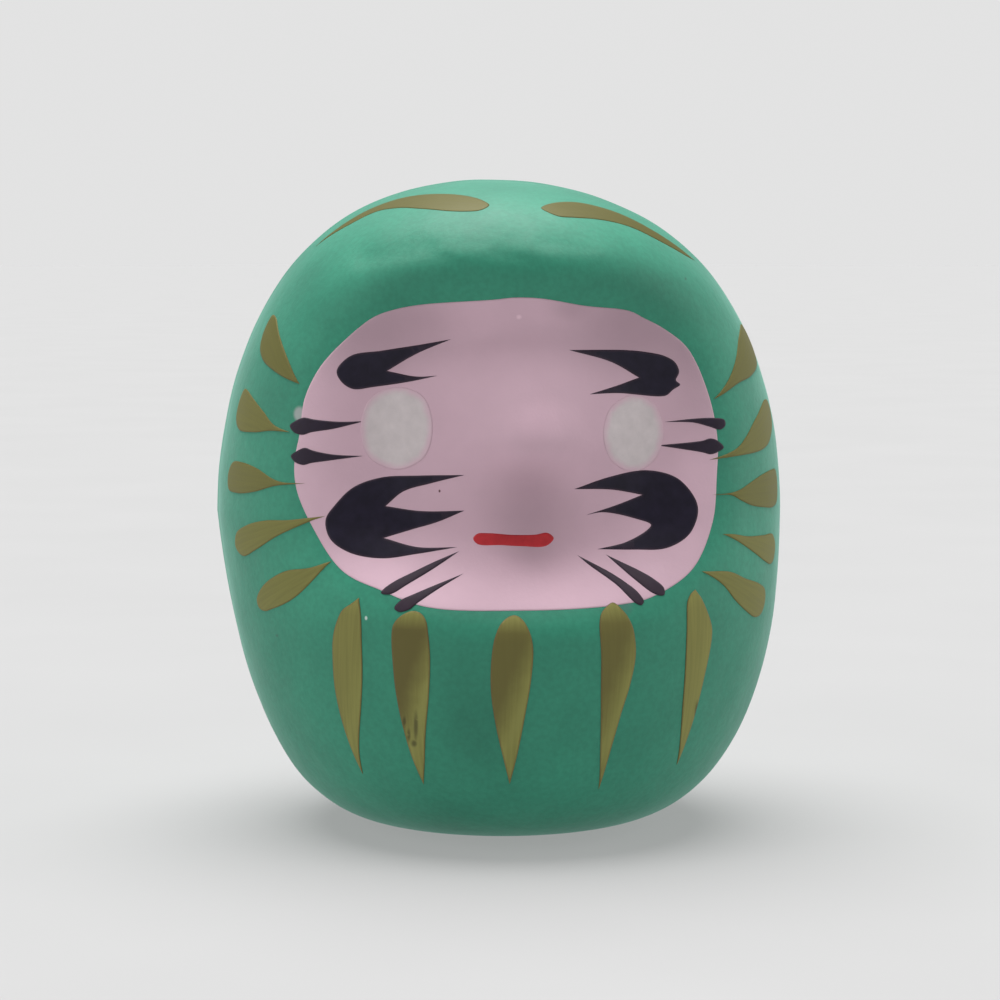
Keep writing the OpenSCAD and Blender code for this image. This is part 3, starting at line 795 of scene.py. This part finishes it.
# Azimuth that each stroke is painted from, then its outline
SIDES = {
    "right": [
        (-60, [(-4.0, 50.4), (-4.6, 49.0), (-4.2, 47.5), (-2.6, 46.3), (0.4, 45.3),
               (4.5, 44.2, TIP), (2.2, 46.6), (-0.9, 49.0), (-2.6, 50.2)]),
        (-60, [(-5.6, 43.3), (-6.6, 41.8), (-6.6, 40.4), (-5.3, 39.5), (-1.6, 39.4), (1.5, 39.7),
               (4.2, 39.7, TIP), (1.8, 40.3), (-0.2, 41.4), (-2.9, 42.6), (-4.5, 43.2)]),
        (-58, [(-8.3, 35.0), (-7.1, 36.2), (-4.3, 36.4), (-1.1, 36.0), (1.2, 35.3), (2.8, 35.0),
               (5.4, 35.0, TIP), (2.0, 34.6), (-1.6, 33.8), (-5.4, 33.4), (-8.0, 33.7)]),
        (-54, [(-8.1, 28.2), (-7.6, 29.4), (-4.9, 30.5), (-1.5, 31.2), (2.1, 31.5),
               (5.4, 32.0, TIP), (3.0, 30.9), (0.2, 29.8), (-3.6, 28.2), (-6.4, 27.4)]),
        (-47, [(-7.3, 23.4), (-5.9, 24.8), (-3.6, 26.0), (-1.6, 26.7), (1.5, 27.2),
               (3.6, 27.9, TIP), (2.2, 26.4), (-0.3, 24.5), (-2.3, 23.5), (-4.4, 22.8),
               (-6.1, 22.4), (-7.1, 22.7)]),
    ],
    "left": [
        (58, [(-3.6, 42.7, TIP), (-1.3, 44.6), (0.4, 46.1), (2.7, 47.9), (5.2, 49.0), (7.4, 49.4),
              (8.8, 48.5), (9.0, 46.9), (8.0, 45.8), (6.2, 45.2), (2.9, 44.5), (-0.2, 44.0)]),
        (62, [(-6.5, 37.0, TIP), (-3.6, 38.0), (-1.8, 39.1), (0.5, 40.5), (4.8, 42.1), (6.6, 41.9),
              (7.2, 41.0), (6.6, 39.8), (5.3, 38.8), (3.5, 38.0), (1.0, 37.5), (-4.3, 37.2)]),
        (60, [(-5.8, 33.7, TIP), (-4.1, 33.8), (-2.9, 34.0), (-1.1, 34.5), (1.6, 35.1),
              (4.8, 35.4), (6.8, 35.2), (7.3, 34.0), (6.8, 32.3), (5.0, 31.8), (1.9, 32.0),
              (-0.8, 32.4), (-2.7, 33.0), (-4.1, 33.6)]),
        (58, [(-4.6, 30.0, TIP), (-3.3, 29.9), (-0.8, 29.5), (2.7, 29.3), (5.6, 29.1), (6.7, 27.9),
              (6.2, 26.7), (5.0, 26.3), (3.3, 26.7), (0.8, 27.7), (-2.0, 28.9)]),
        (54, [(-5.8, 26.7, TIP), (-2.2, 26.4), (0.6, 25.5), (3.7, 24.7), (5.4, 23.9), (5.6, 22.6),
              (4.8, 21.7), (3.2, 21.5), (1.3, 22.2), (-1.2, 23.6), (-3.2, 25.2)]),
    ],
}
BELLY = [
    (-36, [(-0.5, 7.5, TIP), (-0.1, 9.6), (0.4, 11.3), (1.3, 14.4), (1.9, 17.6), (2.1, 20.7),
           (2.1, 23.3), (1.8, 24.7, TIP), (1.0, 24.1), (0.1, 23.5), (-0.6, 22.4), (-1.2, 20.8),
           (-1.5, 18.4), (-1.6, 16.0), (-1.4, 13.3), (-0.8, 9.1)]),
    (-22, [(0.5, 7.1, TIP), (1.0, 9.2), (1.5, 12.2), (2.1, 15.6), (2.4, 19.1), (2.3, 21.4),
           (2.0, 22.8), (1.4, 23.5), (0.6, 23.7), (-0.2, 23.4), (-0.8, 22.9), (-1.2, 22.1),
           (-1.2, 17.8), (-1.0, 15.1), (-0.3, 10.5)]),
    (0, [(-0.1, 23.4), (-1.1, 22.9), (-1.8, 21.7), (-2.2, 19.3), (-2.2, 16.3), (-1.7, 13.0),
         (-1.0, 10.0), (-0.35, 7.4, TIP), (0.2, 10.0), (0.9, 14.0), (1.5, 18.0), (1.6, 20.7),
         (1.2, 22.2), (0.6, 23.1)]),
    (21, [(-0.1, 24.3), (-0.8, 24.0), (-1.5, 23.4), (-1.9, 22.3), (-1.8, 19.5), (-1.6, 15.5),
          (-1.1, 10.6), (-0.3, 6.5, TIP), (-0.1, 9.8), (0.5, 13.6), (1.3, 16.8), (1.7, 19.5),
          (1.5, 21.4), (1.2, 22.5), (0.7, 23.5)]),
    (41, [(0.3, 8.0, TIP), (0.5, 11.5), (1.0, 16.2), (1.5, 20.3), (1.4, 21.4), (0.6, 23.0),
          (-0.1, 24.1), (-0.9, 25.1, TIP), (-1.5, 24.7), (-2.0, 23.9), (-2.0, 21.5), (-1.7, 17.0),
          (-1.1, 12.6)]),
]

TEMPLE_WASH, CHIN_WASH = 0.2, 0.45      # how thinned the ink of the whiskers is
# Painted shade on the gold strokes of the crown
CROWN_PAINTED_SHADE = 0.8
SIDE_PAINTED_SHADE = (0.64, 0.52, 0.56, 0.38, 0.34)      # painted shade on the gold side strokes, from the brow down
BELLY_DARK_REFLECTION = (0.3, 1.0, 0.85, 0.8, 0.2)         # painted dark reflection on the belly strokes, from the doll's right to its left

film("face_field", 0, FACE, PINK, "pink_paint", COAT, **WIDE, lip=COAT_LIP)
for side in ("right", "left"):
    film(f"eye_{side}", 0, EYES[side], EYE, "eye_white", VEIL, **ROUND)
    film(f"eyebrow_{side}", 0, BROWS[side], INK, "black_ink", MARK, **BOLD, wash=0.0)
    film(f"cheek_beard_{side}", 0, BEARDS[side], INK, "black_ink", MARK, **BOLD, wash=0.0)
    for k in range(2):
        film(f"temple_whisker_{side}_{k + 1}", 0, TEMPLES[side][k], INK, "black_ink", MARK, **THIN,
             wash=TEMPLE_WASH)
        film(f"chin_whisker_{side}_{k + 1}", 0, CHINS[side][k], INK, "black_ink", MARK, **THIN,
             wash=CHIN_WASH)
film("mouth", 0, MOUTH, RED, "red_paint", MARK, **THIN)
for side in ("right", "left"):
    film(f"gold_crown_{side}", None, CROWN[side], GOLD, "gold_paint", STROKE / 2, **THIN,
         lip=CROWN_LIP, dark=0.0, dull=CROWN_PAINTED_SHADE)
    for k, (azimuth, marks) in enumerate(SIDES[side]):
        film(f"gold_side_{side}_{k + 1}", azimuth, marks, GOLD, "gold_paint", STROKE, **THIN,
             dark=0.0, dull=SIDE_PAINTED_SHADE[k])
for k, (azimuth, marks) in enumerate(BELLY):
    film(f"gold_belly_{k + 1}", azimuth, marks, GOLD, "gold_paint", STROKE, **THIN,
         dark=BELLY_DARK_REFLECTION[k], dull=0.0)


# ---- Paper strip over the joint, and the paper under the foot ----
STRIP_END = -0.62               # level of the surface at which the strip ends on each side
STRIP_ROWS = 150                # from one end to the crown
STRIP_COLS = 18                 # an even count, so that no ray meets the joint's own edge
STRIP_RISE = 0.18               # how far its middle stands over its edges
STRIP_SUNK = 0.06               # how far its edges lie in the coat
STRIP_FADE = 3.0                # height over which each end rises out of the coat
STRIP_WOBBLE = 0.06             # unevenness of its width
STRIP_WAVE = 5                  # and how long its waves are
ABOVE = 10                      # its rays start this far over the even surface
CUT_WOBBLE = 0.03               # unevenness of the disc's radius
CUT_WAVES = 1.7                 # and how many waves it has across the disc, about
DISC_SPACING = 1.5
DISC_ROUND = 0.05               # how far the disc's lower rim is lifted


def seam_strip():
    """Thin strip from ear to crown to ear, pasted over the joint, feathered at edges and ends."""
    s = np.concatenate([np.linspace(STRIP_END, 1, STRIP_ROWS),
                        np.linspace(1, STRIP_END, STRIP_ROWS)[1:]])
    a = np.radians(np.where(np.arange(len(s)) < STRIP_ROWS, -90, 90))
    path = skin(s, a)
    ahead = np.gradient(path, axis=0)
    away = np.stack([-ahead[:, 2], 0 * s, ahead[:, 0]], -1)
    away /= np.linalg.norm(away, axis=1, keepdims=True)
    across = np.linspace(-1, 1, STRIP_COLS)
    outer, inner = [], []
    for place, n in zip(path, away):
        wobble = 1 + STRIP_WOBBLE * noise.noise(Vector(place) / STRIP_WAVE)
        aside = [np.array([0, c * STRIP_W / 2 * wobble, 0]) for c in across]
        line = [land(place + n * ABOVE + shift, -n) for shift in aside]
        lift = STRIP_RISE * min(1.0, (place[2] - path[0][2]) / STRIP_FADE) ** 2
        outer.append([p + m * (lift * (1 - c * c) ** 1.5 - STRIP_SUNK)
                      for (p, m), c in zip(line, across)])
        inner.append([p + m * 2 * UNDER for p, m in line])
    points, faces, smooth = sheet_between(np.array(outer), np.array(inner))
    add_mesh("seam_strip_paper", points, faces, smooth, GREEN, "green_pulp", ["seam_strip"])


def base_disc():
    """Paper disc cut by hand, on which the doll stands, its lower rim a little rounded."""
    turns = np.radians(np.arange(0, 360, 3))
    round_it = [(math.cos(t), math.sin(t)) for t in turns]
    cut = [1 - CUT_WOBBLE * abs(noise.noise(Vector((x, y, 0.4)) * CUT_WAVES)) for x, y in round_it]
    ring = PAPER_R * np.array([(c * x, c * y) for c, (x, y) in zip(cut, round_it)])
    flat, faces = fill(ring, DISC_SPACING)
    lift = DISC_ROUND * (1 - np.minimum(1, inside(flat, ring)[1] / RIM))
    top = [(x, y, FOOT_Z) for x, y in flat]
    low = [(x, y, z) for (x, y), z in zip(flat, lift)]
    points, faces, smooth = plate(top, low, faces)
    add_mesh("base_paper_disc", points, faces, smooth, PAPER, "base_paper", ["base_paper"])


seam_strip()
base_disc()

for node, material in (("clay_weight", clay_body()), ("weight_glue", glue_body())):
    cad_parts[node].data.materials.clear()
    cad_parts[node].data.materials.append(material)

# ---- Camera, light and floor ----
CAMERA_FROM = (-3, 5)           # azimuth and elevation of the photograph's viewpoint
CAMERA_FAR = 0.3                # metres
LENS, SENSOR = 108, 36
# Strength, spread, azimuth and elevation of each lamp
SUNS = {
    "overhead": (4.95, 60, -168, 77),
    "front": (0.2, 90, 0, 25),
    "left": (0.9, 60, 93, 12),
    "right": (0.88, 60, -76, 10),
}
HAZE, HAZE_TO = 0.765, 0.09     # brightness of the backdrop, up to this height on the sky's sphere
SKY, SKY_FROM = 0.12, 0.2       # and of the sky over it
FLOOR_R, FLOOR_Z = 6, -5e-5     # metres; the floor lies just clear of the doll's foot
FLOOR_TONES = (0.245, 0.25, 0.255)
FLOOR_GLOW = 0.31


def toward(azimuth, elevation):
    """Direction from the doll to a viewpoint or a lamp."""
    a, e = math.radians(azimuth), math.radians(elevation)
    return Vector((math.sin(a) * math.cos(e), -math.cos(a) * math.cos(e), math.sin(e)))


def place_camera():
    camera = bpy.data.objects.new("camera", bpy.data.cameras.new("camera"))
    bpy.context.scene.collection.objects.link(camera)
    bpy.context.scene.camera = camera
    camera.data.lens = LENS
    camera.data.sensor_width = SENSOR
    camera.data.clip_start, camera.data.clip_end = 0.01, 100
    back = toward(*CAMERA_FROM)
    camera.location = Vector((0, 0, HEIGHT / 2 / MM)) + back * CAMERA_FAR
    camera.rotation_euler = (-back).to_track_quat("-Z", "Y").to_euler()


def sun(name, strength, spread, azimuth, elevation):
    """Wide soft light from a direction given as the camera's is."""
    lamp = bpy.data.objects.new(name, bpy.data.lights.new(name, "SUN"))
    bpy.context.scene.collection.objects.link(lamp)
    lamp.data.energy = strength
    lamp.data.angle = math.radians(spread)
    lamp.rotation_euler = toward(azimuth, elevation).to_track_quat("Z", "Y").to_euler()


def studio_sky():
    """Backdrop bright near the horizon and dim higher up."""
    world = bpy.data.worlds.new("studio")
    bpy.context.scene.world = world
    world.use_nodes = True
    tree = world.node_tree
    direction = tree.nodes.new("ShaderNodeTexCoord").outputs["Generated"]
    split = tree.nodes.new("ShaderNodeSeparateXYZ")
    ramp = tree.nodes.new("ShaderNodeValToRGB")
    tree.links.new(direction, split.inputs[0])
    tree.links.new(split.outputs["Z"], ramp.inputs["Fac"])
    stops = ((HAZE_TO, HAZE), (SKY_FROM, SKY))
    for element, (at, value) in zip(ramp.color_ramp.elements, stops):
        element.position = at
        element.color = (*grey(value), 1)
    tree.links.new(ramp.outputs["Color"], tree.nodes["Background"].inputs["Color"])


def studio_floor():
    """Round pale floor that the doll stands on."""
    mesh = bpy.data.meshes.new("floor")
    turns = np.radians(np.arange(0, 360, 6))
    rim = [(FLOOR_R * math.cos(t), FLOOR_R * math.sin(t), FLOOR_Z) for t in turns]
    mesh.from_pydata(rim, [], [list(range(len(rim)))])
    floor = bpy.data.objects.new("floor", mesh)
    bpy.context.scene.collection.objects.link(floor)
    low, middle, high = FLOOR_TONES
    n = Nodes("pale_floor", grey(middle), 0.9, specular=0.0)
    n.shader.inputs["Emission Color"].default_value = (*WHITE, 1)
    n.shader.inputs["Emission Strength"].default_value = FLOOR_GLOW
    n.color(n.ramp(n.grain(40, 2), (0.3, grey(low)), (0.7, grey(high))))
    mesh.materials.append(n.material)


place_camera()
for name, values in SUNS.items():
    sun(name, *values)
studio_sky()
studio_floor()
bpy.context.scene.view_settings.view_transform = "Standard"
